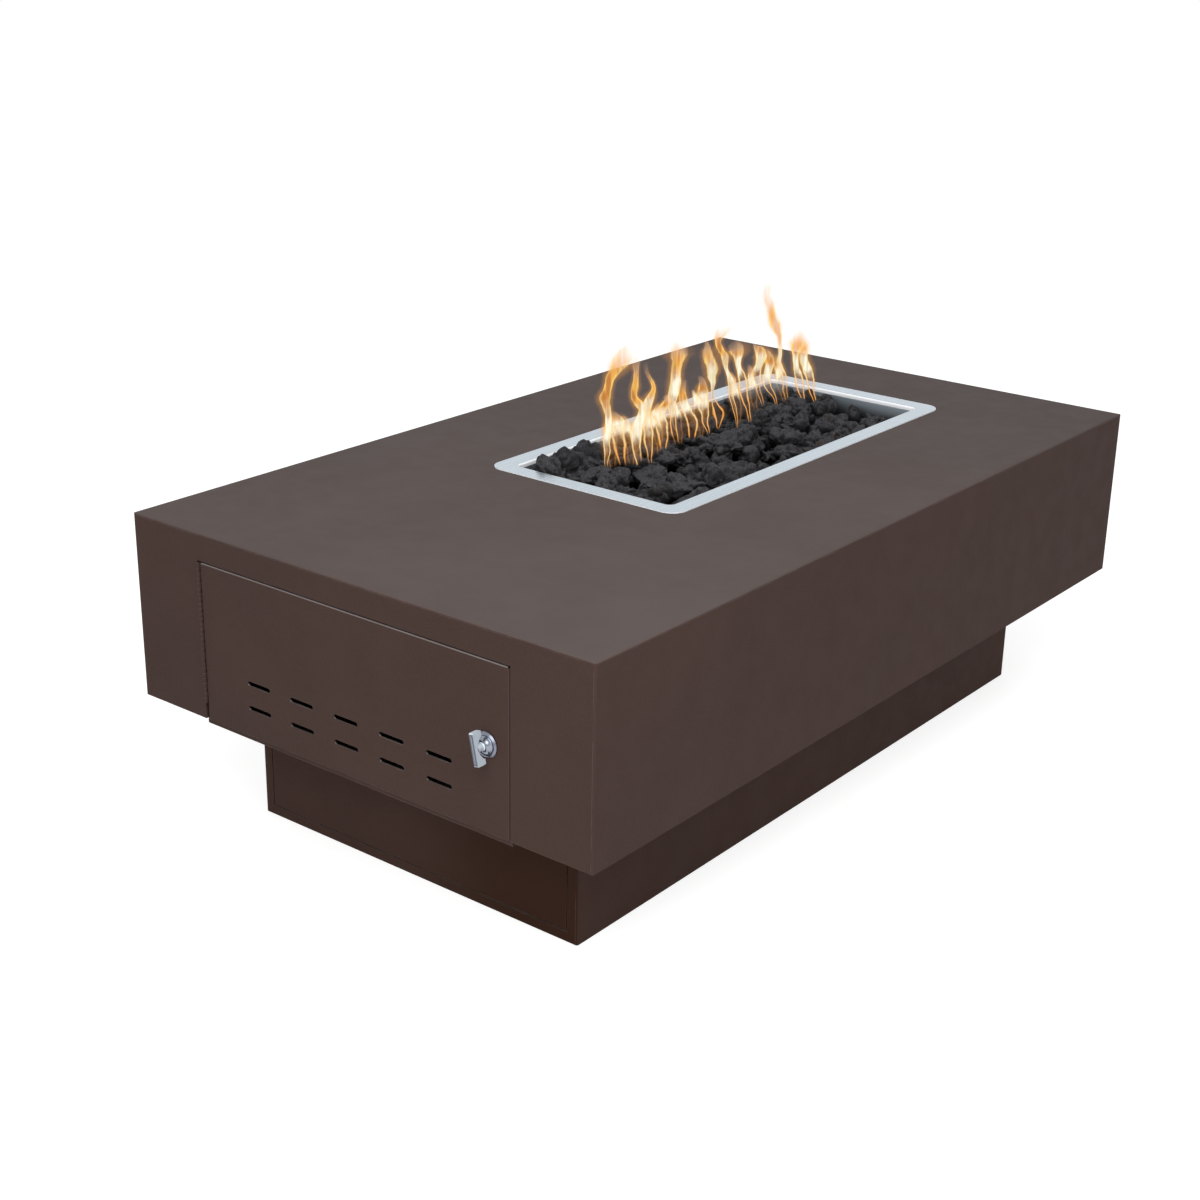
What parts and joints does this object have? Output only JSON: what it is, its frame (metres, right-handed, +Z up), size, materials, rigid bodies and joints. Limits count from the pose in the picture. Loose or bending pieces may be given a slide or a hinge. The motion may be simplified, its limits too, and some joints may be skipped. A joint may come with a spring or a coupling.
{
  "type": "fire pit table",
  "caption": "Rectangular steel gas fire pit table with a lava rock burner pan, a set-back plinth and a vented, hinged access door at one end.",
  "frame": {"origin": "on the floor, under the middle of the table", "axes": "+Z up, +Y along the table's length, away from the door end; +X across the table"},
  "size_m": [0.711, 1.24, 0.4251],
  "materials": {
    "paint": "satin",
    "paint_inside": "satin",
    "stainless": "satin",
    "latch_steel": "satin",
    "zinc": "satin",
    "brass": "satin",
    "black_iron": "matte",
    "hose": "satin",
    "grip": "matte",
    "rock": "matte"
  },
  "bodies": {
    "cabinet": {"top_panel": "paint", "front_skirt": "paint", "rear_skirt": "paint", "left_skirt": "paint", "right_skirt": "paint", "floor_tray": "paint_inside", "door_sill": "paint", "hinge_post": "paint_inside", "latch_post": "paint_inside", "header_stop": "paint_inside", "front_brace": "paint_inside", "rear_brace": "paint_inside", "plinth_left": "paint", "plinth_right": "paint", "plinth_rear": "paint", "plinth_front": "paint", "plinth_panel": "paint", "panel_nuts": "zinc", "base_ring": "paint_inside", "hinge_frame_leaf": "paint", "hinge_pin": "zinc", "frame_rivets": "zinc", "burner_pan": "stainless", "burner_pipe": "stainless", "burner_plugs": "stainless", "burner_feet": "stainless", "burner_stub": "stainless", "pan_locknuts": "zinc", "burner_elbow": "zinc", "burner_hose_fitting": "brass", "gas_hose": "hose", "valve_hose_fitting": "brass", "valve_body": "brass", "close_nipple": "black_iron", "supply_elbow": "black_iron", "supply_pipe": "black_iron", "supply_locknuts": "zinc", "lava_rocks": "rock"},
    "door": {"door_panel": "paint", "hinge_door_leaf": "paint", "door_rivets": "zinc", "latch_housing": "latch_steel", "latch_nut": "zinc"},
    "latch": {"latch_handle": "latch_steel", "latch_cam": "zinc", "cam_screw": "zinc"},
    "valve": {"valve_ball": "stainless", "valve_stem": "brass", "valve_lever": "zinc", "lever_grip": "grip", "lever_nut": "zinc"}
  },
  "joints": [
    {"name": "door_hinge", "type": "hinge", "parent": "cabinet", "child": "door", "pos_m": [-0.2408, -0.6101, 0.2794], "axis": [0, 0, -1], "range_deg": [0, 180]},
    {"name": "latch_turn", "type": "hinge", "parent": "door", "child": "latch", "pos_m": [0.21, -0.6095, 0.273], "axis": [0, -1, 0], "range_deg": [0, 90]},
    {"name": "valve_turn", "type": "hinge", "parent": "cabinet", "child": "valve", "pos_m": [0.06, -0.3895, 0.214], "axis": [0, 0, 1], "range_deg": [0, 90]}
  ]
}
